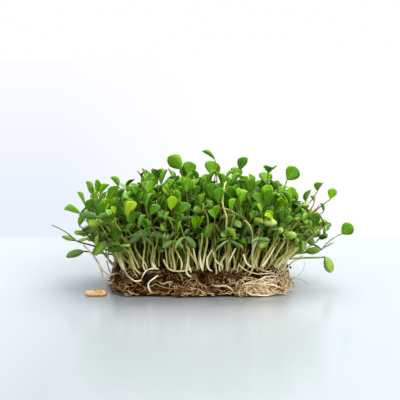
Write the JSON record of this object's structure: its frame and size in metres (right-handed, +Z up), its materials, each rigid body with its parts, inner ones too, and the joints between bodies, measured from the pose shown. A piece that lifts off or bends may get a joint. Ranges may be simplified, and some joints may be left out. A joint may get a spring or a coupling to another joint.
{
  "type": "block of clover microgreens",
  "caption": "Rectangular block of clover microgreens: slender leafy seedlings standing close together in a brown growing medium on their matted roots.",
  "frame": {"origin": "middle of the root mat's flat underside, which the block lies on", "axes": "+Z up, out of the growing medium; +X along the block's longer side; -Y towards the side seen in the picture"},
  "size_m": [0.1658, 0.0869, 0.075],
  "materials": {
    "root": "matte",
    "growing_medium": "matte",
    "seedling": "satin"
  },
  "bodies": {
    "root": {"root_mat": "root", "growing_medium": "growing_medium", "seedlings_01": "seedling", "seedlings_02": "seedling", "seedlings_03": "seedling", "seedlings_04": "seedling", "seedlings_05": "seedling", "seedlings_06": "seedling", "seedlings_07": "seedling", "seedlings_08": "seedling", "seedlings_09": "seedling", "seedlings_10": "seedling", "seedlings_11": "seedling", "seedlings_12": "seedling", "seedlings_13": "seedling", "seedlings_14": "seedling", "seedlings_15": "seedling", "seedlings_16": "seedling", "seedlings_17": "seedling", "seedlings_18": "seedling", "seedlings_19": "seedling", "seedlings_20": "seedling", "seedlings_21": "seedling", "seedlings_22": "seedling", "seedlings_23": "seedling", "seedlings_24": "seedling", "seedlings_25": "seedling", "seedlings_26": "seedling", "seedlings_27": "seedling", "seedlings_28": "seedling", "seedlings_29": "seedling", "seedlings_30": "seedling", "seedlings_31": "seedling", "seedlings_32": "seedling", "seedlings_33": "seedling", "seedlings_34": "seedling", "seedlings_35": "seedling", "seedlings_36": "seedling", "seedlings_37": "seedling", "seedlings_38": "seedling", "seedlings_39": "seedling", "seedlings_40": "seedling", "seedlings_41": "seedling", "seedlings_42": "seedling", "seedlings_43": "seedling"}
  },
  "joints": []
}
